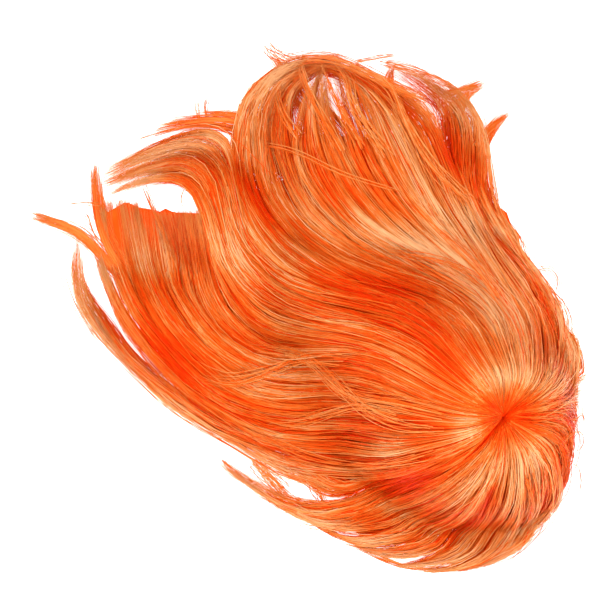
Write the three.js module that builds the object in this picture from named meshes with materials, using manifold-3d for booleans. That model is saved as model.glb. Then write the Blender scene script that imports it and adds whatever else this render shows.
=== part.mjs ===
// A short bob wig of orange fibre, lying on a table: its cap stands on its rim with the opening down,
// and the hair is swept off the cap to one side, where it fans out in lobes with curled ends.
// Millimetres, +Z up, origin on the table below the middle of the whole wig.
import * as THREE from "three";
import { mergeVertices } from "three/addons/utils/BufferGeometryUtils.js";
import Module from "manifold-3d";

const wasm = await Module();
wasm.setup();

// Driving dimensions

// The cap is half an ellipsoid. Its long axis runs from the forehead, on the hair's far side, to the nape.
const CAP = { x: 104, y: -66, nape_deg: 135, half_length: 94, half_width: 74, height: 92, wall: 2 };
const CAP_ROUND = 26;
const CAP_RINGS = 7;

// All hair leaves one whorl on the crown, and starts at this distance from its middle.
const WHORL = { x: 140, y: -74, radius: 8 };

// The heap that the hair lies over, as mounds: the middle of each, the way it points, its half length
// forwards and backwards of the middle, half width and height. The crown's mound stands on the cap.
// slope is the exponent of a mound's fall forwards, which is reached at EASE of that length: ROUND is
// as round as an ellipsoid, 1 is as straight as a tent.
const MOUNDS = [
  { of: "crown", x: 104, y: -66, deg: 135, ahead: 180, behind: 103, half_wide: 83, high: 104, slope: 1 },
  { of: "nape", x: 120, y: -12, deg: 118, ahead: 85, behind: 75, half_wide: 58, high: 62, slope: 0.5 },
  { of: "upper lobe", x: 50, y: 95, deg: 122, ahead: 96, behind: 105, half_wide: 74, high: 46, slope: 0.5 },
  { of: "middle lobe", x: -46, y: 49, deg: 131, ahead: 80, behind: 80, half_wide: 46, high: 36, slope: 0.5 },
  { of: "lower lobe", x: -50, y: -40, deg: 150, ahead: 110, behind: 120, half_wide: 50, high: 38,
    slope: 0.5 },
];
const ROUND = 0.5;
const EASE = 0.6;
const MOUND_BLEND = 4; // the higher, the sharper the crease between two mounds
const NORMAL_REACH = 20; // a lock lies as the heap does within this distance

// How a lock's width and thickness grow from its root and taper to its tip, as shares of their full size.
const ROOT_SHARE = 0.2;
const GROWN_AT = 0.35; // of its length
const TAPER_FROM = 0.72;

const GAP = 0.6; // between two pieces, which are sewn together but are separate solids
const RING_SIDES = 6; // of a lock's flat oval section
const LOCK_STEPS = 9; // lengths that a lock is made of
const FLAT_STEPS = 6; // for a lock that lies flat on the table
const DRAPE_STEPS = 60; // places at which a lock's route is lifted onto the heap
const FLOOR_SINK = 0.35; // of a lock's thickness: where it lies on the table, its middle is this far up
const TABLE_DEPTH = 60; // of the block that trims the hair flat at the table
const TABLE_SIDE = 600;
const MERGE_WITHIN = 1e-4;

// Locks, a row each. turn is the heading at which it leaves the whorl, from +X towards +Y. Then come its
// full width and thickness, its width at the tip, and the places that it passes in plan, tip last.
const SECTIONS = {
  // Front hair, folded over the forehead's rim and swept round the foot of the cap
  fringe: [
    { turn: 268, wide: 24, thick: 13, tip: 5,
      by: [[137, -105], [131, -140], [118, -163], [92, -173], [62, -171]] },
    { turn: 288, wide: 26, thick: 13, tip: 5,
      by: [[150, -108], [151, -143], [139, -166], [114, -176], [84, -177]] },
    { turn: 308, wide: 28, thick: 13, tip: 6,
      by: [[163, -105], [168, -134], [158, -157], [137, -174], [110, -180]] },
    { turn: 327, wide: 28, thick: 13, tip: 8,
      by: [[172, -96], [180, -120], [175, -142], [157, -159], [135, -172]] },
    { turn: 344, wide: 28, thick: 13, tip: 8,
      by: [[178, -86], [187, -104], [187, -124], [175, -144], [158, -157]] },
    { turn: 0, wide: 26, thick: 13, tip: 8, by: [[180, -75], [189, -85], [190, -103], [187, -123]] },
    { turn: 14, wide: 26, thick: 13, tip: 8, by: [[178, -65], [192, -60], [194, -68], [192, -82]] },
  ],
  // Side hair that falls to the table at the cap's right, or runs up that edge over the upper lobe
  upper_edge: [
    { turn: 26, wide: 26, thick: 13, tip: 8,
      by: [[180, -57], [191, -44], [188, -24], [180, -4], [168, 16]] },
    { turn: 38, wide: 30, thick: 13, tip: 8,
      by: [[173, -50], [186, -28], [187, -6], [177, 14], [156, 34], [138, 56]] },
    { turn: 46, wide: 32, thick: 14, tip: 8,
      by: [[168, -51], [176, -32], [174, -7], [160, 14], [136, 46], [120, 76], [115, 102], [118, 124],
        [114, 142], [97, 160], [66, 174]] },
    { turn: 54, wide: 28, thick: 15, tip: 8,
      by: [[158, -48], [163, -29], [160, -9], [150, 10], [133, 36], [115, 70], [102, 108], [86, 138],
        [60, 158], [33, 172], [0, 178]] },
    { turn: 62, wide: 28, thick: 16, tip: 8,
      by: [[152, -52], [155, -32], [152, -12], [139, 10], [119, 34], [97, 62], [78, 100], [62, 138],
        [36, 167], [4, 179], [-20, 170]] },
  ],
  // Side hair that makes the upper lobe, its ends drawn together at the top
  upper_curl: [
    { turn: 68, wide: 30, thick: 16, tip: 10,
      by: [[149, -53], [152, -34], [147, -12], [133, 11], [111, 33], [88, 56], [66, 84], [49, 116],
        [38, 146], [24, 174]] },
    { turn: 81, wide: 34, thick: 16, tip: 10,
      by: [[144, -54], [144, -36], [139, -15], [125, 8], [100, 27], [72, 42], [44, 58], [19, 84], [6, 116],
        [4, 148], [9, 174]] },
    { turn: 97, wide: 34, thick: 16, tip: 10,
      by: [[138, -55], [134, -37], [126, -18], [111, 4], [87, 19], [57, 29], [28, 39], [0, 57],
        [-20, 84], [-31, 114], [-30, 144], [-15, 166], [7, 177], [30, 176]] },
    { turn: 113, wide: 30, thick: 15, tip: 10,
      by: [[131, -58], [121, -43], [111, -26], [96, -6], [73, 11], [46, 18], [18, 24], [-8, 40],
        [-29, 66], [-41, 95], [-45, 124], [-40, 150], [-22, 169], [2, 179.5], [30, 180.5]] },
  ],
  // Hair from the back of the crown, in one long wave whose end bends outwards
  back_wave: [
    { turn: 124, wide: 28, thick: 15, tip: 12,
      by: [[127, -58], [113, -43], [99, -25], [80, -6], [54, 5], [26, 8], [-2, 14], [-27, 30], [-45, 54],
        [-51, 82], [-53, 105], [-63, 120], [-84, 120], [-113, 110], [-146, 93]] },
    { turn: 136, wide: 28, thick: 15, tip: 12,
      by: [[123, -61], [106, -49], [90, -33], [68, -16], [40, -8], [12, -6], [-15, 1], [-38, 17], [-54, 42],
        [-60, 70], [-65, 92], [-77, 106], [-94, 106], [-117, 99], [-145, 87]] },
    { turn: 148, wide: 26, thick: 15, tip: 6,
      by: [[119, -63], [100, -54], [80, -41], [56, -27], [28, -20], [0, -19], [-27, -10], [-48, 7],
        [-62, 32], [-68, 60], [-73, 83], [-83, 96], [-99, 97], [-118, 91], [-141, 81]] },
  ],
  // The other side's hair, swept over the lower lobe to a blunt end
  lower_sweep: [
    { turn: 159, wide: 26, thick: 15, tip: 26,
      by: [[117, -66], [95, -60], [70, -47], [44, -34], [16, -31], [-12, -33], [-38, -24], [-60, -5],
        [-74, 20], [-80, 46], [-82, 71]] },
    { turn: 170, wide: 28, thick: 15, tip: 28,
      by: [[116, -71], [91, -68], [64, -58], [37, -46], [9, -46], [-20, -47], [-47, -37], [-72, -16],
        [-90, 12], [-100, 41], [-105, 70]] },
    { turn: 181, wide: 28, thick: 15, tip: 27,
      by: [[115, -76], [88, -77], [61, -71], [34, -61], [5, -62], [-25, -62], [-54, -51], [-82, -27],
        [-106, 4], [-120, 38], [-126, 77]] },
    { turn: 191, wide: 26, thick: 15, tip: 20,
      by: [[115, -80], [87, -85], [59, -84], [30, -78], [0, -80], [-31, -78], [-60, -66], [-90, -42],
        [-117, -8], [-135, 30], [-144, 75]] },
    { turn: 200, wide: 22, thick: 14, tip: 8,
      by: [[116, -84], [87, -94], [57, -100], [26, -99], [-5, -98], [-37, -89], [-67, -74], [-97, -50],
        [-123, -20], [-137, 12], [-145, 44]] },
    { turn: 208, wide: 18, thick: 12, tip: 6,
      by: [[117, -88], [89, -104], [57, -114], [24, -117], [-9, -111], [-42, -98], [-74, -81], [-107, -56],
        [-138, -25], [-156, 7], [-163, 33], [-157, 54]] },
  ],
  // The long lock beside the face, lying on the table along the lower edge
  face_lock: [
    { turn: 211, wide: 20, thick: 12, tip: 10,
      by: [[118, -90], [92, -105], [66, -117], [42, -126], [22, -134], [4, -141]] },
    { turn: 216, wide: 22, thick: 12, tip: 4,
      by: [[119, -93], [92, -112], [64, -127], [34, -137], [4, -142], [-24, -132], [-46, -116],
        [-61, -105]] },
    { turn: 229, wide: 22, thick: 12, tip: 4,
      by: [[121, -100], [94, -127], [58, -147], [21, -154], [-13, -142], [-38, -125]] },
    { turn: 243, wide: 22, thick: 12, tip: 4,
      by: [[126, -106], [104, -137], [74, -160], [39, -167], [11, -158], [-8, -143]] },
    { turn: 256, wide: 18, thick: 12, tip: 4,
      by: [[131, -110], [117, -141], [93, -160], [60, -170], [27, -164]] },
  ],
};

// The under layer is sewn to the nape and lies on the table below the lobes, with its ends showing past
// them. Its locks start at root instead of the whorl.
const NAPE_SECTIONS = {
  nape_upper: [
    { root: [66, 29], wide: 18, thick: 9, tip: 9,
      by: [[14, 80], [-30, 124], [-62, 134], [-88, 132], [-110, 128]] },
    { root: [70, 30], wide: 26, thick: 8, tip: 4, by: [[25, 112], [-4, 154], [-25, 181.7]] },
    { root: [74, 30], wide: 26, thick: 8, tip: 4, by: [[67, 126], [56, 161], [65, 181]] },
    { root: [78, 29], wide: 22, thick: 8, tip: 4, by: [[102, 112], [110, 147], [128, 160]] },
    { root: [82, 28], wide: 22, thick: 8, tip: 4, by: [[118, 85], [126, 118], [145, 137]] },
  ],
  nape_lower: [
    { root: [20, -10], wide: 30, thick: 9, tip: 16, by: [[-46, 8], [-74, 32], [-84, 60]] },
    { root: [11, -21], wide: 12, thick: 9, tip: 3,
      by: [[-60, -4], [-116, 18], [-140, 48], [-146, 76], [-147, 107]] },
    { root: [11, -56], wide: 18, thick: 9, tip: 3,
      by: [[-74, -14], [-128, 22], [-146, 42], [-158, 53], [-174, 61], [-195, 66]] },
  ],
};

// Colours and finish: dyed fibre, and the elastic net that it is sewn to
const HAIR = new THREE.MeshStandardMaterial({ color: 0xff6a1a, roughness: 0.45, metalness: 0 });
const UNDER_HAIR = new THREE.MeshStandardMaterial({ color: 0xe8500f, roughness: 0.5, metalness: 0 });
const NET = new THREE.MeshStandardMaterial({ color: 0xd9581f, roughness: 0.9, metalness: 0 });

// Solids from triangles, and back

function solidOf(geometry) {
  const bare = geometry.clone();
  bare.deleteAttribute("normal");
  bare.deleteAttribute("uv");
  const merged = mergeVertices(bare, MERGE_WITHIN);
  return new wasm.Manifold(
    new wasm.Mesh({
      numProp: 3,
      vertProperties: new Float32Array(merged.attributes.position.array),
      triVerts: new Uint32Array(merged.index.array),
    }),
  );
}

function geometryOf(solid) {
  const mesh = solid.getMesh();
  const geometry = new THREE.BufferGeometry();
  geometry.setAttribute("position", new THREE.BufferAttribute(mesh.vertProperties, 3));
  geometry.setIndex(new THREE.BufferAttribute(mesh.triVerts, 1));
  geometry.computeVertexNormals();
  return geometry;
}

const joined = (solids) => solids.reduce((whole, solid) => whole.add(solid));

const largest = (solid) => solid.decompose().sort((a, b) => b.volume() - a.volume())[0];

// The cap's wall, or with grow its outside as a full body, which clears the hair from it

function capGeometry(grow) {
  const arc = (radius, height) =>
    Array.from({ length: CAP_RINGS + 1 }, (_, i) => {
      const up = (i / CAP_RINGS) * (Math.PI / 2);
      return new THREE.Vector2(i === CAP_RINGS ? 0 : radius * Math.cos(up), height * Math.sin(up));
    });
  const outside = arc(CAP.half_width + grow, CAP.height + grow);
  const inside = arc(CAP.half_width - CAP.wall, CAP.height - CAP.wall);
  const foot = [new THREE.Vector2(0, -grow), new THREE.Vector2(CAP.half_width + grow, -grow)];
  const profile = grow > 0 ? [...foot, ...outside] : [...inside.reverse(), ...outside];
  const dome = new THREE.LatheGeometry(profile, CAP_ROUND);
  dome.rotateX(Math.PI / 2);
  dome.scale((CAP.half_length + grow) / (CAP.half_width + grow), 1, 1);
  dome.rotateZ(THREE.MathUtils.degToRad(CAP.nape_deg));
  return dome.translate(CAP.x, CAP.y, 0);
}

// Height of the hair's outside above the table at a place in plan

function heapHeight(x, y) {
  let sum = 0;
  for (const mound of MOUNDS) {
    const heading = THREE.MathUtils.degToRad(mound.deg);
    const along = (x - mound.x) * Math.cos(heading) + (y - mound.y) * Math.sin(heading);
    const across = (y - mound.y) * Math.cos(heading) - (x - mound.x) * Math.sin(heading);
    const reach = along > 0 ? mound.ahead : mound.behind;
    const left = 1 - (along / reach) ** 2 - (across / mound.half_wide) ** 2;
    const fall = ROUND + (mound.slope - ROUND) * THREE.MathUtils.smoothstep(along, 0, EASE * mound.ahead);
    if (left > 0) sum += (mound.high * left ** fall) ** MOUND_BLEND;
  }
  return sum ** (1 / MOUND_BLEND);
}

function heapNormal(x, y) {
  const step = NORMAL_REACH;
  return new THREE.Vector3(
    heapHeight(x - step, y) - heapHeight(x + step, y),
    heapHeight(x, y - step) - heapHeight(x, y + step),
    2 * step,
  ).normalize();
}

// Share of a lock's full size at a place u along it, from 0 at the root to 1 at the tip

function fullness(u, tipShare) {
  const grown = THREE.MathUtils.smoothstep(u, 0, GROWN_AT);
  const tapered = THREE.MathUtils.smoothstep(u, TAPER_FROM, 1);
  return (ROOT_SHARE + (1 - ROOT_SHARE) * grown) * (1 - (1 - tipShare) * tapered);
}

// One lock: a flat oval swept along its route, laid on the heap or, where that is lower, on the table

function lockSolid(lock, grow, onHeap) {
  const heading = THREE.MathUtils.degToRad(lock.turn ?? 0);
  const root = lock.root ?? [
    WHORL.x + WHORL.radius * Math.cos(heading),
    WHORL.y + WHORL.radius * Math.sin(heading),
  ];
  const route = [root, ...lock.by].map(([x, y]) => new THREE.Vector3(x, y, 0));
  const draped = new THREE.CatmullRomCurve3(route).getSpacedPoints(DRAPE_STEPS);
  if (onHeap) draped.forEach((p) => (p.z = heapHeight(p.x, p.y)));
  const steps = onHeap ? LOCK_STEPS : FLAT_STEPS;
  const spine = new THREE.CatmullRomCurve3(draped).getSpacedPoints(steps);
  const shares = spine.map((_, i) => fullness(i / steps, lock.tip / lock.wide));
  spine.forEach((p, i) => {
    const thick = lock.thick * shares[i];
    if (onHeap) p.addScaledVector(heapNormal(p.x, p.y), -thick / 2);
    p.z = Math.max(p.z, FLOOR_SINK * thick);
  });
  const corners = [];
  spine.forEach((p, i) => {
    const ahead = spine[Math.min(i + 1, steps)].clone().sub(spine[Math.max(i - 1, 0)]).normalize();
    const up = onHeap ? heapNormal(p.x, p.y) : new THREE.Vector3(0, 0, 1);
    const side = new THREE.Vector3().crossVectors(up, ahead).normalize();
    const out = new THREE.Vector3().crossVectors(ahead, side);
    if (i === 0) p.addScaledVector(ahead, -grow);
    if (i === steps) p.addScaledVector(ahead, grow);
    for (let k = 0; k < RING_SIDES; k++) {
      const angle = (k / RING_SIDES) * 2 * Math.PI;
      const across = Math.cos(angle) * ((lock.wide * shares[i]) / 2 + grow);
      const above = Math.sin(angle) * ((lock.thick * shares[i]) / 2 + grow);
      const corner = p.clone().addScaledVector(side, across).addScaledVector(out, above);
      corners.push(corner.x, corner.y, corner.z);
    }
  });
  const faces = [];
  for (let i = 0; i < steps; i++) {
    for (let k = 0; k < RING_SIDES; k++) {
      const a = i * RING_SIDES + k;
      const b = i * RING_SIDES + ((k + 1) % RING_SIDES);
      faces.push(a, b, a + RING_SIDES, b, b + RING_SIDES, a + RING_SIDES);
    }
  }
  const last = steps * RING_SIDES;
  for (let k = 1; k < RING_SIDES - 1; k++) {
    faces.push(0, k + 1, k);
    faces.push(last, last + k, last + k + 1);
  }
  const geometry = new THREE.BufferGeometry();
  geometry.setAttribute("position", new THREE.Float32BufferAttribute(corners, 3));
  geometry.setIndex(faces);
  return solidOf(geometry);
}

// Assembly: each section of hair is fused from its locks, trimmed flat at the table, and cut back from
// the cap and from the sections that were laid before it

const wig = new THREE.Group();

function addPiece(name, geometry, material) {
  const mesh = new THREE.Mesh(geometry, material);
  mesh.name = name;
  wig.add(mesh);
}

addPiece("cap", capGeometry(0), NET);

const tableBlock = new THREE.BoxGeometry(TABLE_SIDE, TABLE_SIDE, TABLE_DEPTH);
const table = solidOf(tableBlock.translate(0, 0, -TABLE_DEPTH / 2));
let taken = solidOf(capGeometry(GAP));

function addSection(name, locks, material, onHeap) {
  const hair = joined(locks.map((lock) => lockSolid(lock, 0, onHeap))).subtract(table).subtract(taken);
  addPiece(name, geometryOf(largest(hair)), material);
  taken = taken.add(joined(locks.map((lock) => lockSolid(lock, GAP, onHeap))));
}

for (const [name, locks] of Object.entries(NAPE_SECTIONS)) addSection(name, locks, UNDER_HAIR, false);
for (const [name, locks] of Object.entries(SECTIONS)) addSection(name, locks, HAIR, true);

export default wig;
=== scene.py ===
# A short bob wig of straight orange fibre, lying on a pale table and seen from above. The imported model
# gives the frame, in metres. Hair is measured in millimetres, and scaled when its mesh is made.
import math

import bpy
import numpy as np
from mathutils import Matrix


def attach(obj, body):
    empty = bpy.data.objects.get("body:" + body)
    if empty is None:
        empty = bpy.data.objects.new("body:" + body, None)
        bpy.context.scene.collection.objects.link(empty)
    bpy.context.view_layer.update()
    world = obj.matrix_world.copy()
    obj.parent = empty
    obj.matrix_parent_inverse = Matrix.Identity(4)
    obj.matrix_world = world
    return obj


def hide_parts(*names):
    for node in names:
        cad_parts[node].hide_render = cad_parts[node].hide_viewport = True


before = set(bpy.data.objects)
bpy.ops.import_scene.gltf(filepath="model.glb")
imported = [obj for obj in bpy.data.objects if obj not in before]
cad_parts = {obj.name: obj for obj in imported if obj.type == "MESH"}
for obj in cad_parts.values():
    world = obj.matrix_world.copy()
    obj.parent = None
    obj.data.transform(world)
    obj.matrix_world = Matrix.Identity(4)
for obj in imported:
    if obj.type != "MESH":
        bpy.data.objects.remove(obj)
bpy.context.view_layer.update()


# Cap
# An elastic net dome that all the hair is sewn to, standing on its rim with the opening down. It is half
# an ellipsoid with a thin wall and a turned-in elastic edge, made of a coarse diamond net.

CAP_MIDDLE = (0.104, -0.066)
CAP_HALF_LENGTH = 0.094
CAP_HALF_WIDTH = 0.074
CAP_HEIGHT = 0.092
CAP_WALL = 0.002
NAPE_HEADING = math.radians(135)
EDGE_HEIGHT = 0.009
EDGE_THICKNESS = 0.0009

NET_OPENING_SHADE = (0.55, 0.040, 0.003, 1)
NET_THREAD = (0.90, 0.130, 0.012, 1)
NET_THREADS_ROUND = 90
NET_RISE = 1500
WEFT_PITCH = 0.011
NET_BUMP = 0.0006


class Value:
    """One output of a material's nodes, so that a finish is written as sums of such values"""

    def __init__(self, tree, socket):
        self.tree = tree
        self.socket = socket

    def node(self, kind, settings, inputs, output=0):
        made = self.tree.nodes.new(kind)
        for name, setting in settings.items():
            if name == "stops":
                first, *middle, last = setting
                made.color_ramp.elements[0].color = first[1]
                made.color_ramp.elements[1].color = last[1]
                for place, colour in middle:
                    made.color_ramp.elements.new(place).color = colour
            else:
                setattr(made, name, setting)
        for name, given in inputs.items():
            if isinstance(given, Value):
                self.tree.links.new(given.socket, made.inputs[name])
            else:
                made.inputs[name].default_value = given
        return Value(self.tree, made.outputs[output])

    def maths(self, operation, *others):
        inputs = dict(enumerate((self, *others)))
        return self.node("ShaderNodeMath", {"operation": operation}, inputs)

    def __add__(self, other):
        return self.maths("ADD", other)

    def __sub__(self, other):
        return self.maths("SUBTRACT", other)

    def __mul__(self, other):
        return self.maths("MULTIPLY", other)

    def __rsub__(self, other):
        return self * -1 + other

    __radd__ = __add__
    __rmul__ = __mul__

    def between(self, low, high):
        """0 up to low and 1 from high on, with a smooth rise"""
        inputs = {"Value": self, "From Min": low, "From Max": high}
        return self.node("ShaderNodeMapRange", {"interpolation_type": "SMOOTHSTEP"}, inputs)

    def blend(self, first, second):
        """A colour between two, by this value"""
        inputs = {"Factor": self, 6: first, 7: second}
        return self.node("ShaderNodeMix", {"data_type": "RGBA"}, inputs, output=2)


def new_finish(name):
    """A material with its shader and, as a value, the place on the object"""
    material = bpy.data.materials.new(name)
    material.use_nodes = True
    tree = material.node_tree
    shader = tree.nodes["Principled BSDF"]
    coordinates = tree.nodes.new("ShaderNodeTexCoord")
    return material, shader, Value(tree, coordinates.outputs["Object"])


def wear(shader, socket, value):
    value.tree.links.new(value.socket, shader.inputs[socket])


def net_finish():
    material, shader, place = new_finish("elastic_net")
    east, north, up = (place.node("ShaderNodeSeparateXYZ", {}, {0: place}, output=axis) for axis in range(3))
    turn = (north - CAP_MIDDLE[1]).maths("ARCTAN2", east - CAP_MIDDLE[0])
    rising = (turn * NET_THREADS_ROUND + up * NET_RISE).maths("SINE")
    falling = (turn * NET_THREADS_ROUND - up * NET_RISE).maths("SINE")
    thread = rising.maths("MAXIMUM", falling).between(0.55, 0.95)
    weft = (up * (2 * math.pi / WEFT_PITCH)).maths("SINE").between(0.75, 0.98)
    relief = thread.maths("MAXIMUM", weft)
    # Between the threads the colour is painted shade, standing for the dark seen through the net's openings
    wear(shader, "Base Color", relief.blend(NET_OPENING_SHADE, NET_THREAD))
    wear(shader, "Roughness", 0.95 - relief * 0.2)
    wear(shader, "Normal", place.node("ShaderNodeBump", {}, {"Distance": NET_BUMP, "Height": relief}))
    return material


bpy.ops.object.select_all(action="DESELECT")
bpy.ops.mesh.primitive_uv_sphere_add(segments=96, ring_count=48, radius=1)
cap = bpy.context.object
cap.name = "cap_net"
bpy.ops.object.mode_set(mode="EDIT")
bpy.ops.mesh.select_all(action="SELECT")
bpy.ops.mesh.bisect(plane_co=(0, 0, 0), plane_no=(0, 0, 1), clear_inner=True)
bpy.ops.object.mode_set(mode="OBJECT")
cap.scale = (CAP_HALF_LENGTH, CAP_HALF_WIDTH, CAP_HEIGHT)
cap.rotation_euler.z = NAPE_HEADING
cap.location = (*CAP_MIDDLE, 0)
bpy.ops.object.transform_apply(location=True, rotation=True, scale=True)
wall = cap.modifiers.new("wall", "SOLIDIFY")
wall.thickness = CAP_WALL
wall.offset = -1
bpy.ops.object.modifier_apply(modifier=wall.name)
bpy.ops.object.mode_set(mode="EDIT")
bpy.ops.mesh.select_all(action="DESELECT")
bpy.ops.object.mode_set(mode="OBJECT")
for face in cap.data.polygons:
    east = face.center.x - CAP_MIDDLE[0]
    north = face.center.y - CAP_MIDDLE[1]
    faces_in = face.normal.x * east + face.normal.y * north < 0
    face.select = faces_in and face.center.z < EDGE_HEIGHT
bpy.ops.object.mode_set(mode="EDIT")
bpy.ops.mesh.extrude_region_shrink_fatten(TRANSFORM_OT_shrink_fatten={"value": EDGE_THICKNESS})
bpy.ops.object.mode_set(mode="OBJECT")
bpy.ops.object.shade_smooth_by_angle(angle=math.radians(40))
cap.data.materials.append(net_finish())
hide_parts("cap")
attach(cap, "root")


# Under layer of the nape
# Hair sewn to the cap's edge at the nape, lying flat on the table below the lobes, so that only its thin
# ends show past them. Each fibre is a closed thread with three sides, and a section's fibres are one mesh.

MM = 0.001

# A row is one lock: its width, thickness and width at the tip, and its route in plan
NAPE_UPPER = (
    (18, 9, 9, [(66, 29), (14, 80), (-30, 124), (-62, 134), (-88, 132), (-110, 128)]),
    (26, 8, 1, [(70, 30), (25, 112), (-4, 154), (-25, 182)]),
    (26, 8, 1, [(74, 30), (67, 126), (58, 158), (63, 175)]),
    (22, 8, 2, [(78, 29), (102, 112), (110, 147), (128, 160)]),
    (22, 8, 2, [(82, 28), (118, 85), (126, 119), (144, 139)]),
)
NAPE_LOWER = (
    (30, 9, 16, [(20, -10), (-46, 8), (-74, 32), (-84, 60)]),
    (8, 9, 1, [(11, -21), (-60, -4), (-116, 16), (-141, 46), (-148, 76), (-149, 107)]),
    (16, 9, 2, [(11, -56), (-74, -14), (-130, 22), (-147, 43), (-158, 54), (-174, 61), (-196, 67)]),
)

PATH_STEPS = 72
SPLINE_STEPS = 24
ROUTE_EASING = 14
NORMAL_REACH = 8


def ease(lines, times):
    """Smooths lines, each place on them towards the two beside it"""
    for _ in range(times):
        lines[..., 1:-1, :] = (lines[..., :-2, :] + 2 * lines[..., 1:-1, :] + lines[..., 2:, :]) / 4


def smooth_route(points):
    """Places evenly spaced along a smooth curve through these points"""
    given = np.asarray(points, float)
    ends = np.vstack([2 * given[0] - given[1], given, 2 * given[-1] - given[-2]])
    share = np.linspace(0, 1, SPLINE_STEPS, endpoint=False)[:, None]
    parts = []
    for before, start, stop, after in zip(ends[:-3], ends[1:-2], ends[2:-1], ends[3:]):
        bend = 2 * before - 5 * start + 4 * stop - after
        twist = 3 * start - before - 3 * stop + after
        parts.append(start + 0.5 * ((stop - before) * share + bend * share**2 + twist * share**3))
    curve = np.vstack(parts + [given[-1:]])
    gone = np.r_[0, np.cumsum(np.linalg.norm(np.diff(curve, axis=0), axis=1))]
    at = np.linspace(0, gone[-1], PATH_STEPS)
    route = np.stack([np.interp(at, gone, curve[:, axis]) for axis in (0, 1)], axis=1)
    ease(route, ROUTE_EASING)
    return route


def rise(value, low, high):
    """0 up to low and 1 from high on, with a smooth rise"""
    share = np.clip((value - low) / (high - low), 0, 1)
    return share * share * (3 - 2 * share)


def unit(vectors):
    return vectors / np.maximum(np.linalg.norm(vectors, axis=-1, keepdims=True), 1e-9)


def wave(turns):
    return np.sin(2 * np.pi * turns)


def level(x, y):
    """No height, as of the bare table, and no swelling"""
    return np.zeros_like(x)


def normals_of(heap, x, y):
    east = heap(x - NORMAL_REACH, y) - heap(x + NORMAL_REACH, y)
    north = heap(x, y - NORMAL_REACH) - heap(x, y + NORMAL_REACH)
    return unit(np.stack([east, north, np.full_like(x, 2 * NORMAL_REACH)], axis=-1))


def aside_of(plan):
    """Directions in plan to the left of lines"""
    ahead = unit(np.gradient(plan, axis=-2))
    return np.stack([-ahead[..., 1], ahead[..., 0]], axis=-1)


def crease(lane, along, per_row, drift, draw):
    """0 along the top of each strip of hair and 1 in the crease beside it, with per_row strips to a lock"""
    wander = drift * wave(along * draw.uniform(0.6, 1.1) + draw.random())
    return 1 - np.abs(np.cos(np.pi * (lane * per_row + wander))) ** 0.7


def sample(lines, number, places):
    """Values on the lines with these numbers, at places counted in steps along them"""
    step = np.clip(np.floor(places), 0, PATH_STEPS - 2).astype(int)
    part = places - step
    if lines.ndim == 3:
        part = part[..., None]
    return lines[number, step] * (1 - part) + lines[number, step + 1] * part


def plan_of(routes, lane, along):
    """Places in plan: lane is a row's number, or lies between two rows, and along the share of the route"""
    row = np.clip(np.floor(lane), 0, len(routes) - 2).astype(int)
    part = (lane - row)[..., None]
    step = along * (PATH_STEPS - 1)
    return sample(routes, row, step) * (1 - part) + sample(routes, row + 1, step) * part


def by_lane(lane, rows, values):
    """Values at lanes, between those given for the rows of a section or, with fewer, for places across it"""
    return np.interp(lane, np.linspace(0, rows - 1, len(values)), values)


FIBRE_RADIUS = 0.26
WISP_SHARE = 0.3
WISP_FIBRES = 10
WISP_DEPTH = 0.3
WISP_SPREAD = (0.5, 1.6)
LOOSE_SPREAD = 0.4
LATE_ROOTS = 0.35
SPREAD_BY = 0.25
PINCH_FROM = 0.55
SWAY = (0.2, 1.6)
SWAY_WAVES = (0.7, 1.6)
JITTER = 0.25
JITTER_WAVES = (1.5, 3)
STRAY_SHARE = 0.04
STRAY_SWAY = (2, 7)
STRAY_LIFT = 1.6
TAPER_FROM = 0.72
TABLE_SHARE = 0.85
HANG_FROM = 0.65
DIP_REACH = 30
DEPTH_SHARE = 0.7
CREASES = (
    # Strips to a lock, their drift across it, and the depth of the creases between them and the painted
    # shade in them
    (1, 0.3, 2.6, 0.20),
    (3.3, 0.5, 1.5, 0.17),
    (8.7, 0.9, 0.6, 0.11),
)
SWELL = 3
SWELL_LENGTH = 85
SWELL_REACH = (30, 70)
PATH_EASING = 3

MIDDLE_TONE = 0.575
BAND_TONE = 0.07
OWN_TONE = 0.30
DEPTH_SHADE = 0.36
DARK_SHARE = 0.06
DARK_TONE = 0.05
PALE_SHARE = 0.08
PALE_TONE = 0.85
SWELL_LIGHT_AND_SHADE = 0.24
SWELL_LIGHT_AND_SHADE_REACH = (40, 80)
BULGE_LIGHT_AND_SHADE = 0.14
ROOT_SHADE = 0.36
ROOT_SHADE_REACH = (15, 27)
SLOPE_SHADE = 0.08
BORDER_LIGHT = 0.3
BORDER_HEIGHT = (2, 14)


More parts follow.
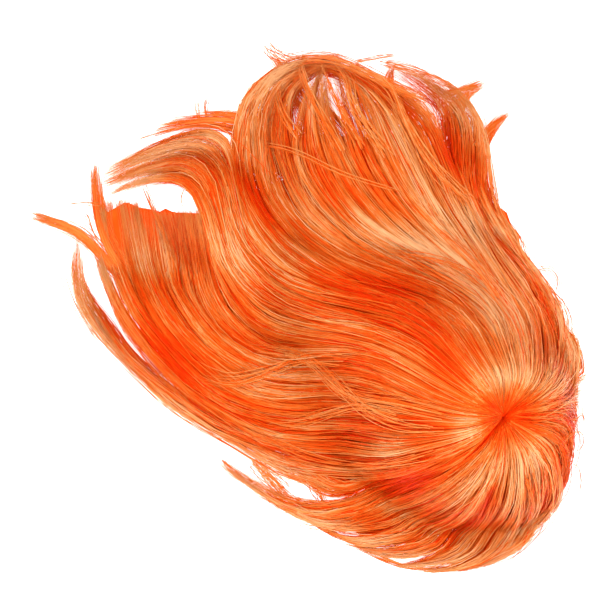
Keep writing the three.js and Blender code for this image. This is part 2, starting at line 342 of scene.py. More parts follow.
def comb(locks, heap, bulges, seed, fibres, drawn_from, ragged, hang=(0,), root_dip=0):
    """Paths of a section's fibres over a heap, with directions outwards, shares of the route and tones"""
    draw = np.random.default_rng(seed)
    wide, thick, tip = (np.array([lock[column] for lock in locks], float) for column in range(3))
    routes = np.stack([smooth_route(lock[3]) for lock in locks])
    route_length = np.linalg.norm(np.diff(routes, axis=1), axis=2).sum(axis=1)
    rows = len(locks)

    # Some fibres keep together in wisps near the top, and the others are loose, each a group of its own
    wisps = int(fibres * WISP_SHARE / WISP_FIBRES)
    loose = fibres - wisps * WISP_FIBRES
    groups = wisps + loose
    group = np.r_[np.repeat(np.arange(wisps), WISP_FIBRES), wisps + np.arange(loose)]
    in_wisp = group < wisps
    even = draw.permutation((np.arange(loose) + draw.random(loose)) / loose)
    lane = (np.r_[draw.random(wisps), even] * rows - 0.5)[group]
    deep = np.r_[WISP_DEPTH * draw.random(wisps), draw.random(loose) ** 1.3][group]
    deep = np.clip(deep + np.where(in_wisp, draw.normal(0, 0.05, fibres), 0), 0, 1)
    home = np.clip(np.round(lane), 0, rows - 1).astype(int)
    stray = draw.random(fibres) < STRAY_SHARE

    # The route in plan, drawn together to its lock's line at the tip
    begin = LATE_ROOTS * deep * draw.random(fibres)
    end = 1 - by_lane(lane, rows, ragged) * (draw.random(groups)[group] ** 2 + 0.4 * draw.random(fibres))
    along = begin[:, None] + (end - begin)[:, None] * np.linspace(0, 1, PATH_STEPS)
    drawn = (1 - tip / wide)[home][:, None] * rise(along, drawn_from, 1)
    across = lane[:, None] + (home - lane)[:, None] * drawn
    plan = plan_of(routes, across, along)

    # Each fibre's own place in its wisp, and its slow wave
    freed = rise(along, 0, SPREAD_BY)
    pinch = freed * (1 - 0.5 * rise(along, PINCH_FROM, 1))
    spread = draw.normal(0, 1, fibres)
    spread = spread * np.where(in_wisp, draw.uniform(*WISP_SPREAD, groups)[group], LOOSE_SPREAD)
    sway = np.where(stray, draw.uniform(*STRAY_SWAY, fibres), draw.uniform(*SWAY, groups)[group])
    swaying = draw.uniform(*SWAY_WAVES, groups)[group][:, None] * along
    swaying = wave(swaying + draw.random(groups)[group][:, None])
    jitter = wave(draw.uniform(*JITTER_WAVES, fibres)[:, None] * along + draw.random(fibres)[:, None])
    offset = spread[:, None] * pinch + freed * sway[:, None] * swaying
    offset = offset + JITTER * freed * jitter
    plan = plan + aside_of(plan) * offset[..., None]

    # Height: below the top of the heap, or of the layer on the table, by the fibre's depth in the lock
    layer = thick[home][:, None] * (1 - 0.5 * rise(along, TAPER_FROM, 1))
    sunk = 0
    crease_shade = 0
    for per_row, drift, depth, crease_shading in CREASES:
        creased = crease(across, along, per_row, drift, draw)
        sunk = sunk + depth * creased
        crease_shade = crease_shade + crease_shading * creased
    x, y = plan[..., 0], plan[..., 1]
    high = heap(x, y)
    hanging = by_lane(lane, rows, hang)[:, None] * rise(along, HANG_FROM, 1)
    top = np.maximum(high, TABLE_SHARE * layer) * (1 - hanging)
    outward = normals_of(heap, x, y)
    gone = along * route_length[home][:, None]
    lag = 0.25 * wave(across * 0.6 + draw.random()) + 0.12 * wave(across * 1.7)
    swell = 0.5 + 0.5 * wave(gone / SWELL_LENGTH + lag)
    below = deep[:, None] * layer * DEPTH_SHARE + root_dip * (1 - rise(gone, 0, DIP_REACH))
    below = below + freed * sunk
    bulge = bulges(x, y)
    below = below + SWELL * rise(gone, *SWELL_REACH) * swell - bulge
    below = below - np.where(stray, draw.exponential(STRAY_LIFT, fibres), 0)[:, None] * pinch
    path = np.concatenate([plan, top[..., None]], axis=-1) - outward * below[..., None]
    ease(path, PATH_EASING)
    path[..., 2] = np.maximum(path[..., 2], 1.5 * FIBRE_RADIUS)

    # Tone: each fibre's own, with painted shade deep down, in creases, at the root, on slopes and in
    # hollows, and painted highlights on swellings
    band = wave(lane * 2.3 + draw.random()) + wave(lane * 6.1 + draw.random())
    # Painted shade on the deep fibres, which lie under the others
    own = MIDDLE_TONE + BAND_TONE * band + OWN_TONE * (draw.random(fibres) - 0.5) - DEPTH_SHADE * deep
    lot = draw.random(fibres)
    own = np.where(lot < DARK_SHARE, DARK_TONE, np.where(lot > 1 - PALE_SHARE, PALE_TONE, own))
    # Painted shade in the creases between the strips
    tone = own[:, None] - freed * crease_shade
    # Painted highlights on the crests of the swell and on swellings, and painted shade in the troughs and
    # hollows
    tone = tone + SWELL_LIGHT_AND_SHADE * rise(gone, *SWELL_LIGHT_AND_SHADE_REACH) * (0.5 - swell) + BULGE_LIGHT_AND_SHADE * bulge
    # Painted shade round the whorl, where the fibres rise from the cap
    tone = tone - ROOT_SHADE * (1 - rise(gone, *ROOT_SHADE_REACH)) * (root_dip > 0)
    # Painted shade on steep slopes, and painted light on hair lying low by the table, as if the white table
    # shone through it
    tone = tone - SLOPE_SHADE * (1 - outward[..., 2]) + BORDER_LIGHT * (1 - rise(high, *BORDER_HEIGHT))
    return path, outward, along, np.clip(tone, 0, 1)


BACKING_LANES = 6
BACKING_STEPS = 40
BACKING_DEPTH = 0.75
# The sheet's darker tone is painted shade of the dense hair deep below the fibres
BACKING_SHADE_TONE = 0.25


def backing(locks, heap, until):
    """Places of a sheet below the fibres, which stands for the dense hair of a section, lanes by steps"""
    thick = np.array([lock[1] for lock in locks], float)
    routes = np.stack([smooth_route(lock[3]) for lock in locks])
    rows = len(locks)
    lanes = np.linspace(-0.4, rows - 0.6, BACKING_LANES * rows)
    lane, share = np.meshgrid(lanes, np.linspace(0.04, 1, BACKING_STEPS), indexing="ij")
    along = share * by_lane(lane, rows, until)
    layer = thick[np.clip(np.round(lane), 0, rows - 1).astype(int)]
    plan = plan_of(routes, lane, along)
    x, y = plan[..., 0], plan[..., 1]
    top = np.maximum(heap(x, y), TABLE_SHARE * layer)
    sheet = np.concatenate([plan, top[..., None]], axis=-1)
    sheet = sheet - normals_of(heap, x, y) * (BACKING_DEPTH * layer)[..., None]
    sheet[..., 2] = np.maximum(sheet[..., 2], 1)
    return sheet


FIBRE_SIDES = 3
FIBRE_TIP = 0.25
THIN_FROM = 0.8
TURN_WEIGHT = 0.4
RING_SHIFT = 0.45


def hair_piece(name, combed, sheet, segments, finish):
    """One mesh of fibres: each path thinned to segments, closer where it bends, with a ring at each place"""
    path, outward, along, tone = combed
    count = len(path)
    leg = np.diff(path, axis=1)
    length = np.linalg.norm(leg, axis=2)
    heading = unit(leg)
    bend = np.zeros_like(length)
    bend[:, 1:] = np.arccos(np.clip((heading[:, 1:] * heading[:, :-1]).sum(axis=2), -1, 1))
    weight = length / length.sum(axis=1, keepdims=True) + TURN_WEIGHT * bend
    gone = np.concatenate([np.zeros((count, 1)), np.cumsum(weight, axis=1)], axis=1)
    gone /= gone[:, -1:]
    shift = np.random.default_rng(count).uniform(-RING_SHIFT, RING_SHIFT, (count, 1))
    at = (np.arange(segments + 1) + shift) / segments
    at[:, 0] = 0
    at[:, -1] = 1
    where = np.stack([np.interp(rings, line, np.arange(PATH_STEPS)) for rings, line in zip(at, gone)])
    fibre = np.arange(count)[:, None]
    spine = sample(path, fibre, where)
    share = sample(along, fibre, where)
    shade = sample(tone, fibre, where)
    ahead = unit(np.gradient(spine, axis=1))
    side = unit(np.cross(ahead, sample(outward, fibre, where)))
    up = np.cross(side, ahead)
    fraction = np.linspace(0, 1, segments + 1)
    radius = FIBRE_RADIUS * (1 - (1 - FIBRE_TIP) * rise(fraction, THIN_FROM, 1))
    angles = -np.pi / 2 - 2 * np.pi * np.arange(FIBRE_SIDES) / FIBRE_SIDES
    ring = np.cos(angles)[:, None] * side[:, :, None, :] + np.sin(angles)[:, None] * up[:, :, None, :]
    points = spine[:, :, None, :] + radius[None, :, None, None] * ring

    corner = np.arange(FIBRE_SIDES)
    after = (corner + 1) % FIBRE_SIDES
    start = (np.arange(segments) * FIBRE_SIDES)[:, None]
    near_edge = [start + corner, start + after]
    far_edge = [start + after + FIBRE_SIDES, start + corner + FIBRE_SIDES]
    walls = np.stack(near_edge + far_edge, axis=-1).reshape(-1, 4)
    first = (np.arange(count) * (segments + 1) * FIBRE_SIDES)[:, None, None]
    walls = (walls[None] + first).reshape(-1, 4)
    root_end = (corner[::-1][None, None] + first).reshape(-1, FIBRE_SIDES)
    tip_end = (corner[None, None] + segments * FIBRE_SIDES + first).reshape(-1, FIBRE_SIDES)
    lanes, steps = sheet.shape[:2]
    near = (np.arange(lanes - 1)[:, None] * steps + np.arange(steps - 1)).ravel() + points.size // 3
    cells = np.stack([near, near + 1, near + steps + 1, near + steps], axis=-1)
    loops = np.concatenate([walls.ravel(), cells.ravel(), root_end.ravel(), tip_end.ravel()])
    sizes = np.r_[np.full(len(walls) + len(cells), 4), np.full(2 * count, FIBRE_SIDES)]
    places = np.concatenate([points.reshape(-1, 3), sheet.reshape(-1, 3)])
    shares = np.r_[np.repeat(share.ravel(), FIBRE_SIDES), np.full(lanes * steps, 0.5)]
    shades = np.r_[np.repeat(shade.ravel(), FIBRE_SIDES), np.full(lanes * steps, BACKING_SHADE_TONE)]

    mesh = bpy.data.meshes.new(name)
    mesh.vertices.add(len(places))
    mesh.vertices.foreach_set("co", (places * MM).astype(np.float32).ravel())
    mesh.loops.add(len(loops))
    mesh.loops.foreach_set("vertex_index", loops.astype(np.int32))
    mesh.polygons.add(len(sizes))
    mesh.polygons.foreach_set("loop_start", (np.cumsum(sizes) - sizes).astype(np.int32))
    mesh.polygons.foreach_set("use_smooth", np.ones(len(sizes), bool))
    for label, values in (("along", shares), ("tone", shades)):
        mesh.attributes.new(label, "FLOAT", "POINT").data.foreach_set("value", values.astype(np.float32))
    mesh.update(calc_edges=True)
    mesh.validate()
    mesh.materials.append(finish)
    piece = bpy.data.objects.new(name, mesh)
    bpy.context.scene.collection.objects.link(piece)
    return piece


STREAK_SCALE = 140.0
STREAK_TONE = 0.25
TIP_LIGHT_FROM = 0.86
TIP_LIGHT_BLEND = 0.5


def fibre_finish(name, tones, tip_colour, roughness):
    """Silky dyed fibre of varied tone with painted light and shade in it, and painted light on its thin tips
    """
    material, shader, place = new_finish(name)
    tone = place.node("ShaderNodeAttribute", {"attribute_name": "tone"}, {}, output=2)
    along = place.node("ShaderNodeAttribute", {"attribute_name": "along"}, {}, output=2)
    streak = place.node("ShaderNodeTexNoise", {}, {"Vector": place, "Scale": STREAK_SCALE, "Detail": 3.0})
    mixed = tone + (streak - 0.5) * STREAK_TONE
    dyed = mixed.node("ShaderNodeValToRGB", {"stops": tones}, {0: mixed})
    # Painted light: the thin tips paler, as if the white table shone through them
    pale = along.between(TIP_LIGHT_FROM, 1.0) * TIP_LIGHT_BLEND
    wear(shader, "Base Color", pale.blend(dyed, tip_colour))
    wear(shader, "Roughness", roughness - mixed * 0.12)
    shader.inputs["Specular IOR Level"].default_value = 0.1
    shader.inputs["Specular Tint"].default_value = (1.0, 0.66, 0.16, 1)
    return material


UNDER_TONES = (
    (0.0, (0.72, 0.035, 0.003, 1)),
    (0.4, (1.00, 0.115, 0.010, 1)),
    (1.0, (1.00, 0.260, 0.050, 1)),
)
# Colour of the painted light on the thin tips
TIP_LIGHT_COLOUR = (1.0, 0.36, 0.09, 1)
UNDER_SHEET = (0.6,)
UNDER_SEGMENTS = 14
under_fibre = fibre_finish("under_fibre", UNDER_TONES, TIP_LIGHT_COLOUR, roughness=0.5)

# Fibres, share of the route where tips begin to narrow, and how ragged the ends are
for name, node, locks, seed, fibres, drawn_from, ragged in (
    ("nape_upper_hair", "nape_upper", NAPE_UPPER, 11, 600, 0.4, (0.12,)),
    ("nape_lower_hair", "nape_lower", NAPE_LOWER, 12, 600, 0.1, (0.10,)),
):
    combed = comb(locks, level, level, seed, fibres, drawn_from, ragged)
    piece = hair_piece(name, combed, backing(locks, level, UNDER_SHEET), UNDER_SEGMENTS, under_fibre)
    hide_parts(node)
    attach(piece, "root")


# Hair of the crown
# All this hair is sewn round one whorl on the crown and combed outwards. It lies over a heap of mounds: the
# cap, the nape below it and three lobes of loose hair.

WHORL = (140, -74)
WHORL_RADIUS = 0.8
ROOT_DIP = 7
MOUNDS = (
    # Middle, heading, reach ahead and behind, half width, height, and exponent of the fall ahead
    (104, -66, 135, 180, 103, 83, 104, 1.0),
    (120, -12, 118, 85, 75, 58, 62, 0.5),
    (50, 95, 122, 96, 105, 74, 46, 0.5),
    (-46, 49, 131, 80, 80, 46, 36, 0.5),
    (-50, -40, 150, 110, 120, 50, 38, 0.5),
)
ROUND = 0.5
EASE = 0.6
MOUND_BLEND = 4
# Where the hair swells, its tone also gets a painted highlight, and where it sinks, painted shade
SWELLS = (
    # Middle, heading, half length, half width and height of a place where the hair swells, or sinks below 0
    (136, -47, 0, 22, 10, 3),
    (110, -80, 10, 15, 9, 2.5),
    (76, -80, 10, 22, 16, -3.5),
    (155, -98, 135, 16, 14, 2.5),
    (145, -120, 90, 22, 20, 2.5),
    (140, -10, 110, 30, 18, 3),
    (101, 34, 150, 40, 18, 3),
    (46, 55, 165, 45, 16, 2.5),
    (-10, 25, 150, 25, 14, 2.5),
    (-51, 42, 100, 25, 14, 2.5),
    (-33, -48, 20, 22, 10, 2.5),
    (60, -93, 10, 18, 9, 3),
    (-97, -63, 140, 20, 7, 2.5),
    (84, 91, 125, 50, 14, 2.5),
    (114, -122, 40, 25, 12, 2.5),
    (99, -43, 130, 18, 10, -3),
    (122, -29, 20, 22, 8, -2.5),
    (77, -118, 30, 20, 14, -2.5),
    (46, -128, 10, 25, 8, -2.5),
    (42, -147, 165, 26, 8, -3),
    (127, -133, 65, 18, 6, -3),
    (56, 22, 175, 35, 9, -3),
    (22, 14, 170, 32, 12, -2.5),
    (112, 72, 115, 26, 12, 2.5),
    (150, 22, 130, 26, 12, 1.5),
    (174, -50, 60, 16, 18, 2),
    (-7, 95, 120, 26, 18, 1.2),
    (81, -11, 140, 22, 12, -3),
    (-88, -29, 140, 26, 14, -3),
    (-91, -50, 140, 24, 10, -2),
    (-33, 81, 112, 30, 6, -4),
    (-134, 56, 100, 22, 12, -2.5),
    (-18, 137, 110, 20, 12, -2),
    (4, 150, 170, 28, 18, 3.2),
    (-118, 101, 160, 26, 14, 1.4),
    (9, -112, 165, 22, 7, -3),
    (105, 105, 110, 25, 14, -2.5),
    (90, 148, 140, 22, 10, 2),
    (102, -161, 20, 20, 8, -3),
    (140, -74, 0, 3, 3, -1.5),
    (125, -89, 224, 19, 1.6, -4),
    (145, -70, 51, 9, 1.6, -4),
)

# A row is one lock: the heading at which it leaves the whorl, from +X towards +Y, then its width, thickness
# and width at the tip, and the places that it passes in plan
FRINGE = (
    (268, 24, 13, 3, [(137, -105), (131, -140), (117, -164), (92, -178), (63, -181)]),
    (288, 26, 13, 5, [(150, -108), (151, -143), (139, -169), (114, -183), (82, -185)]),
    (308, 28, 13, 6, [(163, -105), (168, -134), (159, -158), (138, -176), (109, -184)]),
    (327, 28, 13, 8, [(172, -96), (180, -120), (175, -142), (157, -159), (135, -172)]),
    (344, 28, 13, 14, [(178, -86), (186, -104), (186, -124), (175, -144), (158, -157)]),
    (0, 26, 13, 22, [(179, -75), (187.5, -85), (188.5, -103), (186, -123)]),
    (14, 26, 13, 24, [(178, -66), (189, -67), (193, -72), (192, -84)]),
    (21, 26, 13, 24, [(178, -61), (188, -59), (194, -58), (197, -57)]),
)
UPPER_EDGE = (
    (26, 26, 13, 20, [(179.5, -57), (191, -44), (188, -24), (180, -4), (168, 16)]),
    (32, 28, 13, 4, [(176.5, -54), (189, -36), (187, -14), (178.5, 8), (162, 29), (143, 53), (131, 75)]),
    (38, 30, 13, 8, [(172, -50), (184, -28), (185, -6), (177, 14), (159, 36), (139, 57), (127, 80),
                     (127, 104), (127, 124), (122, 140), (112, 153), (97, 164)]),
    (46, 32, 14, 14, [(168, -51), (176, -32), (174, -7), (160, 14), (136, 46), (120, 76), (115, 102),
                      (118, 124), (114, 142), (97, 160), (66, 174)]),
    (54, 28, 15, 16, [(158, -48), (163, -29), (160, -9), (150, 10), (133, 36), (115, 70), (102, 108),
                      (86, 138), (60, 158), (33, 172), (0, 178)]),
    (62, 28, 16, 24, [(152, -52), (155, -32), (152, -12), (139, 10), (119, 34), (97, 62), (77, 100),
                      (60, 138), (36, 165), (4, 178), (-20, 170)]),
)
UPPER_CURL = (
    (68, 30, 16, 26, [(149, -53), (152, -34), (147, -12), (133, 11), (111, 33), (88, 56), (66, 84),
                      (49, 116), (39, 146), (27, 174)]),
    (81, 34, 16, 22, [(144, -54), (144, -36), (139, -15), (125, 8), (100, 27), (72, 42), (44, 58), (19, 84),
                      (6, 116), (4, 148), (9, 174)]),
    (97, 34, 16, 10, [(138, -55), (134, -37), (126, -18), (111, 4), (87, 19), (57, 29), (28, 39), (0, 57),
                      (-20, 84), (-31, 114), (-30, 144), (-15, 166), (7, 177), (30, 176)]),
    (113, 30, 15, 10, [(131, -58), (121, -43), (111, -26), (96, -6), (73, 11), (46, 18), (18, 24), (-8, 40),
                       (-29, 66), (-41, 95), (-45, 124), (-40, 150), (-22, 169), (2, 180), (30, 181)]),
)
BACK_WAVE = (
    (124, 28, 15, 22, [(127, -58), (113, -43), (99, -25), (80, -6), (54, 5), (26, 8), (-2, 14), (-27, 30),
                       (-45, 54), (-51, 82), (-53, 105), (-63, 120), (-84, 120), (-113, 110), (-146, 93)]),
    (136, 28, 15, 22, [(123, -61), (106, -49), (90, -33), (68, -16), (40, -8), (12, -6), (-15, 1),
                       (-38, 17), (-54, 42), (-60, 70), (-65, 92), (-77, 106), (-94, 106), (-117, 99),
                       (-145, 87)]),
    (148, 26, 15, 10, [(119, -63), (100, -54), (80, -41), (56, -27), (28, -20), (0, -19), (-27, -10),
                       (-48, 7), (-62, 32), (-68, 60), (-73, 83), (-83, 96), (-99, 97), (-118, 91),
                       (-141, 81)]),
)
LOWER_SWEEP = (
    (159, 26, 15, 26, [(117, -66), (95, -60), (70, -47), (44, -34), (16, -31), (-12, -33), (-38, -24),
                       (-60, -5), (-74, 20), (-80, 46), (-82, 71)]),
    (170, 28, 15, 28, [(116, -71), (91, -68), (64, -58), (37, -46), (9, -46), (-20, -47), (-47, -37),
                       (-72, -16), (-90, 12), (-100, 41), (-105, 70)]),
    (181, 28, 15, 27, [(115, -76), (88, -77), (61, -71), (34, -61), (5, -62), (-25, -62), (-54, -51),
                       (-82, -27), (-106, 4), (-120, 38), (-127, 80)]),
    (191, 26, 15, 20, [(115, -80), (87, -85), (59, -84), (30, -78), (0, -80), (-31, -78), (-60, -66),
                       (-90, -42), (-117, -8), (-135, 30), (-143, 79)]),
    (200, 22, 14, 8, [(116, -84), (87, -94), (57, -100), (26, -99), (-5, -98), (-37, -89), (-67, -74),
                      (-97, -50), (-123, -20), (-138, 12), (-149, 46)]),
    (208, 18, 12, 7, [(117, -88), (89, -104), (57, -114), (24, -117), (-9, -111.5), (-42, -98), (-74, -81),
                      (-108, -56), (-140, -25), (-158, 7), (-164, 33), (-158, 55)]),
)
FACE_LOCK = (
    (211, 20, 12, 4, [(118, -90), (92, -104), (66, -115), (42, -123), (20, -127), (0, -116), (-22, -104)]),
    (216, 22, 12, 6, [(119, -93), (92, -111), (64, -125), (38, -137), (8, -144), (-22, -135), (-47, -119),
                      (-64, -105)]),
    (229, 22, 12, 4, [(121, -100), (94, -127), (58, -146), (21, -153), (-10, -143), (-37, -125)]),
    (243, 22, 12, 4, [(126, -106), (104, -137), (74, -159), (39, -165), (12, -155), (-7, -141)]),
    (256, 18, 12, 4, [(131, -110), (117, -142), (93, -164), (62, -173), (31, -166)]),
)


def turned(x, y, middle_x, middle_y, degrees):
    """Places as seen from a middle: along its heading, and across it"""
    heading = math.radians(degrees)
    east = x - middle_x
    north = y - middle_y
    along = east * math.cos(heading) + north * math.sin(heading)
    across = north * math.cos(heading) - east * math.sin(heading)
    return along, across


def heap_height(x, y):
    """Height of the hair's outside above the table, in millimetres"""
    total = np.zeros_like(x)
    for middle_x, middle_y, degrees, ahead, behind, half_wide, high, slope in MOUNDS:
        along, across = turned(x, y, middle_x, middle_y, degrees)
        left = 1 - (along / np.where(along > 0, ahead, behind)) ** 2 - (across / half_wide) ** 2
        fall = ROUND + (slope - ROUND) * rise(along, 0, EASE * ahead)
        total += (high * np.maximum(left, 1e-9) ** fall) ** MOUND_BLEND
    return total ** (1 / MOUND_BLEND)


def swelling(x, y):
    """How far the hair's outside swells above the heap, in millimetres"""
    total = np.zeros_like(x)
    for middle_x, middle_y, degrees, half_long, half_wide, high in SWELLS:
        along, across = turned(x, y, middle_x, middle_y, degrees)
        total += high * np.exp(-(along / half_long) ** 2 - (across / half_wide) ** 2)
    return total


def from_whorl(section):
    """The rows of a section with each route's root on the whorl"""
    locks = []
    for turn, wide, thick, tip, places in section:
        heading = math.radians(turn)
        root_x = WHORL[0] + WHORL_RADIUS * math.cos(heading)
        root_y = WHORL[1] + WHORL_RADIUS * math.sin(heading)
        locks.append((wide, thick, tip, [(root_x, root_y), *places]))
    return locks


HAIR_TONES = (
    (0.0, (0.88, 0.032, 0.001, 1)),
    (0.25, (0.87, 0.073, 0.003, 1)),
    (0.5, (0.85, 0.148, 0.015, 1)),
    (0.75, (0.87, 0.295, 0.078, 1)),
    (1.0, (0.95, 0.500, 0.235, 1)),
)
hair_fibre = fibre_finish("hair_fibre", HAIR_TONES, TIP_LIGHT_COLOUR, roughness=0.42)

# Fibres, share of the route where tips begin to narrow, and segments. Then, across the section's rows: how
# ragged the ends are, how far the sheet below reaches, and how far the ends hang down to the table
for name, node, section, seed, fibres, drawn_from, segments, ragged, until, hang in (
    ("fringe_hair", "fringe", FRINGE, 21, 1150, 0.72, 14,
     (0.10, 0.10, 0.10, 0.08, 0.05, 0.02, 0, 0), (0.8,), (0, 0, 0, 0, 0.2, 0.8, 1, 1)),
    ("upper_edge_hair", "upper_edge", UPPER_EDGE, 22, 1200, 0.5, 18,
     (0.02, 0.05, 0.10, 0.10), (0.8, 0.8, 0.6, 0.5, 0.5), (0,)),
    ("upper_curl_hair", "upper_curl", UPPER_CURL, 23, 1450, 0.72, 20, (0.08,), (0.66,), (0,)),
    ("back_wave_hair", "back_wave", BACK_WAVE, 24, 1100, 0.74, 20, (0.13,), (0.75,), (0,)),
    ("lower_sweep_hair", "lower_sweep", LOWER_SWEEP, 25, 1550, 0.45, 20,
     (0.02, 0.02, 0.02, 0.03, 0.1, 0.16), (0.99, 0.99, 0.99, 0.97, 0.6, 0.4), (0,)),
    ("face_lock_hair", "face_lock", FACE_LOCK, 26, 900, 0.45, 16,
     (0.14,), (0.5, 0.55, 0.65, 0.7, 0.6), (0,)),
):
    locks = from_whorl(section)
    combed = comb(locks, heap_height, swelling, seed, fibres, drawn_from, ragged, hang, ROOT_DIP)
    piece = hair_piece(name, combed, backing(locks, heap_height, until), segments, hair_fibre)
    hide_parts(node)
    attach(piece, "root")


# Loose hairs
# Wisps and single hairs that have come away from the combed hair: they lie across it, stick out past the
# outline or curl at the hairline.

LOOSE_SEGMENTS = 12
LOOSE_EASING = 16
LOOSE_TONES = (0.35, 0.8)

# A row is one wisp: how many hairs it has, how far they spread, how high they lie above the hair below them,
# and their route in plan
LOOSE_HAIRS = (
    (18, 3.4, 0.6, [(102, -74), (66, -65), (46, -62), (25, -57), (6, -37), (-15, -29), (-41, -27)]),
    (10, 3.0, 0.6, [(95, -81), (67, -80), (44, -70), (25, -53), (9, -39)]),
    (10, 3.0, 0.6, [(67, -76), (39, -67), (19, -71), (-4, -78), (-28, -80)]),
    (16, 3.2, 0.6, [(137, 7), (123, 28), (109, 42), (91, 60), (77, 74), (69, 84), (56, 105)]),
    (6, 1.2, 0.6, [(67, 83), (27, 95), (-7, 111), (-30, 117), (-41, 119)]),
    (18, 3.0, 0.8, [(116, 74), (87, 102), (67, 136), (60, 156), (40, 169), (18, 179)]),
    (18, 3.0, 0.8, [(60, 105), (41, 132), (33, 149), (30, 162), (21, 176)]),
    (14, 2.4, 0.8, [(27, 109), (15, 129), (5, 149), (-2, 169), (-4, 178)]),
    (16, 2.6, 0.8, [(40, 112), (27, 136), (18, 156), (12, 174)]),
    (12, 2.4, 0.8, [(-4, 120), (-15, 136), (-20, 152), (-18, 167), (-4, 178)]),
    (30, 2.6, 0.8, [(86, 146), (61, 157), (41, 167), (14, 178), (-13, 175), (-30, 163)]),
    (7, 3.0, 4.0, [(-4, 175), (-18, 182), (-30, 191)]),
    (6, 2.0, 4.0, [(-11, 174), (-25, 180), (-28, 189)]),
    (7, 0.9, 3.0, [(35, 174), (53, 178), (68, 182)]),
    (18, 2.4, 2.0, [(52, 175), (74, 170), (94, 162), (111, 151)]),
    (26, 1.5, 2.0, [(98, 152), (112, 156), (129, 161)]),
    (26, 1.5, 2.0, [(120, 114), (129, 128), (146, 141)]),
    (6, 1.0, 2.0, [(-69, 132), (-71, 143), (-69, 152)]),
    (4, 1.0, 2.0, [(-75, 133), (-76, 143), (-77, 150)]),
    (4, 1.2, 2.0, [(-144, 74), (-158, 75), (-170, 75)]),
    (5, 1.0, 3.0, [(-155, 69), (-150, 57), (-145, 47)]),
    (3, 2.6, 1.0, [(-169, 27), (-163, 5), (-151, -16), (-135, -34)]),
    (8, 1.1, 4.0, [(-114, 88), (-110, 78), (-104, 64), (-97, 45)]),
    (2, 0.4, 4.0, [(-85, 85), (-87, 78), (-85, 70)]),
    (18, 2.2, 2.0, [(2, -119), (8, -128), (15, -139)]),
    (30, 2.6, 2.0, [(-38, -106), (-28, -117), (-8, -136)]),
    (8, 2.0, 2.0, [(-60, -104), (-48, -116), (-30, -127)]),
    (16, 1.2, 1.0, [(115, -183), (88, -183), (67, -180), (50, -173), (34, -165)]),
    (2, 0.6, 5.0, [(180, -91), (190, -85), (195, -91), (191, -98), (184, -95)]),
    (2, 0.6, 5.0, [(183, -106), (193, -112), (195, -125), (190, -134), (183, -133)]),
    (4, 1.4, 5.0, [(186, -77), (194, -74), (197, -80)]),
    (4, 1.0, 2.0, [(163, 28), (173, 29), (179, 20), (177, 8)]),
    (12, 5.0, 0.5, [(30, -35), (0, -34), (-30, -44), (-55, -50), (-80, -42)]),
    (12, 5.0, 0.5, [(90, -96), (50, -106), (10, -106), (-25, -92), (-60, -72)]),
    (10, 4.0, 0.5, [(-20, 20), (-45, 45), (-52, 80), (-60, 104), (-80, 117)]),
    (10, 4.0, 0.5, [(150, -30), (140, 0), (112, 25), (76, 36), (40, 40)]),
    (10, 4.0, 0.5, [(152, -110), (158, -140), (140, -164), (108, -174)]),
)


def scatter(wisps, seed):
    """Paths of loose hairs over the heap, with directions outwards, shares of the route and tones"""
    draw = np.random.default_rng(seed)
    share = np.linspace(0, 1, PATH_STEPS)
    plans = []
    lifts = []
    for count, spread, lift, places in wisps:
        route = smooth_route(places)
        waving = wave(draw.uniform(0.4, 1.2, (count, 1)) * share + draw.random((count, 1)))
        offset = spread * (draw.normal(0, 0.7, (count, 1)) + 0.6 * waving)
        whole = route + aside_of(route) * offset[..., None]
        begin = 0.12 * draw.random((count, 1))
        end = 1 - 0.2 * draw.random((count, 1))
        at = (begin + (end - begin) * share) * (PATH_STEPS - 1)
        plans.append(sample(whole, np.arange(count)[:, None], at))
        lifts.append(lift * draw.uniform(0.4, 1, (count, 1)) * np.ones(PATH_STEPS))
    plan = np.concatenate(plans)
    x, y = plan[..., 0], plan[..., 1]
    high = np.maximum(heap_height(x, y) + swelling(x, y), 1) + np.concatenate(lifts)
    path = np.concatenate([plan, high[..., None]], axis=-1)
    ease(path, LOOSE_EASING)
    outward = normals_of(heap_height, x, y)
    tone = draw.uniform(*LOOSE_TONES, (len(plan), 1)) * np.ones(PATH_STEPS)
    return path, outward, np.tile(share, (len(plan), 1)), tone


no_sheet = np.zeros((0, 0, 3))
loose_hairs = hair_piece("loose_hairs", scatter(LOOSE_HAIRS, 31), no_sheet, LOOSE_SEGMENTS, hair_fibre)
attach(loose_hairs, "root")


# Table
# A plain sheet of smooth pale paper that the wig lies on. It gives off some light of its own, so that it
# stays white behind the hair.

TABLE_SIDE = 6
TABLE_WHITE = (0.93, 0.93, 0.93, 1)
TABLE_SHADE = (0.89, 0.89, 0.90, 1)
TABLE_GLOW = 0.75

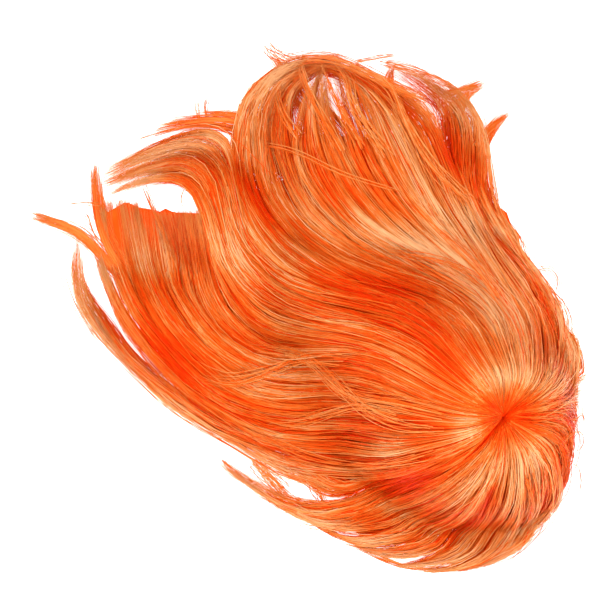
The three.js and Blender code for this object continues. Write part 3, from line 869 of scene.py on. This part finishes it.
table_paper, paper_shader, paper_place = new_finish("table_paper")
paper_cloud = paper_place.node("ShaderNodeTexNoise", {}, {"Vector": paper_place, "Scale": 3.0})
wear(paper_shader, "Base Color", paper_cloud.blend(TABLE_WHITE, TABLE_SHADE))
paper_shader.inputs["Roughness"].default_value = 0.9
paper_shader.inputs["Emission Color"].default_value = (1, 1, 1, 1)
paper_shader.inputs["Emission Strength"].default_value = TABLE_GLOW
bpy.ops.object.select_all(action="DESELECT")
bpy.ops.mesh.primitive_plane_add(size=TABLE_SIDE, location=(0, 0, 0))
table = bpy.context.object
table.name = "table"
table.data.materials.append(table_paper)


# Studio light
# White tent light from all sides, with one soft lamp overhead and two larger, softer ones at the sides.
# The camera doesn't see the lamps.

TENT_STRENGTH = 0.48

world = bpy.data.worlds.new("tent")
bpy.context.scene.world = world
world.use_nodes = True
tent = world.node_tree.nodes["Background"]
tent.inputs["Color"].default_value = (1, 1, 1, 1)
tent.inputs["Strength"].default_value = TENT_STRENGTH
for lamp_name, lamp_place, lamp_turn, lamp_size, lamp_watts in (
    ("overhead", (-0.30, 0.40, 1.5), (-15, -11, 0), 0.5, 15.5),
    ("right_fill", (1.0, -0.7, 0.95), (27, 46, 0), 0.8, 18),
    ("left_fill", (-1.2, -0.5, 0.9), (25, -50, 0), 0.8, 11),
):
    lamp_rotation = [math.radians(angle) for angle in lamp_turn]
    bpy.ops.object.light_add(type="AREA", location=lamp_place, rotation=lamp_rotation)
    lamp = bpy.context.object
    lamp.name = lamp_name
    lamp.data.size = lamp_size
    lamp.data.energy = lamp_watts
    lamp.visible_camera = False


# Camera
# Straight above the wig, far enough away for a nearly flat view. The middle of the frame is a few
# millimetres off the wig's middle, and the frame's side is 600 pixels of 0.7 mm at half the heap's height.

CAMERA_HEIGHT = 3.0
CAMERA_PLACE = (-0.0035, 0.007)
FRAME_SIDE = 0.42
FRAME_HEIGHT = 0.03
SENSOR_WIDTH = 36

bpy.ops.object.camera_add(location=(*CAMERA_PLACE, CAMERA_HEIGHT), rotation=(0, 0, 0))
camera = bpy.context.object
camera.data.sensor_width = SENSOR_WIDTH
camera.data.lens = SENSOR_WIDTH * (CAMERA_HEIGHT - FRAME_HEIGHT) / FRAME_SIDE
bpy.context.scene.camera = camera
bpy.context.scene.view_settings.view_transform = "Standard"
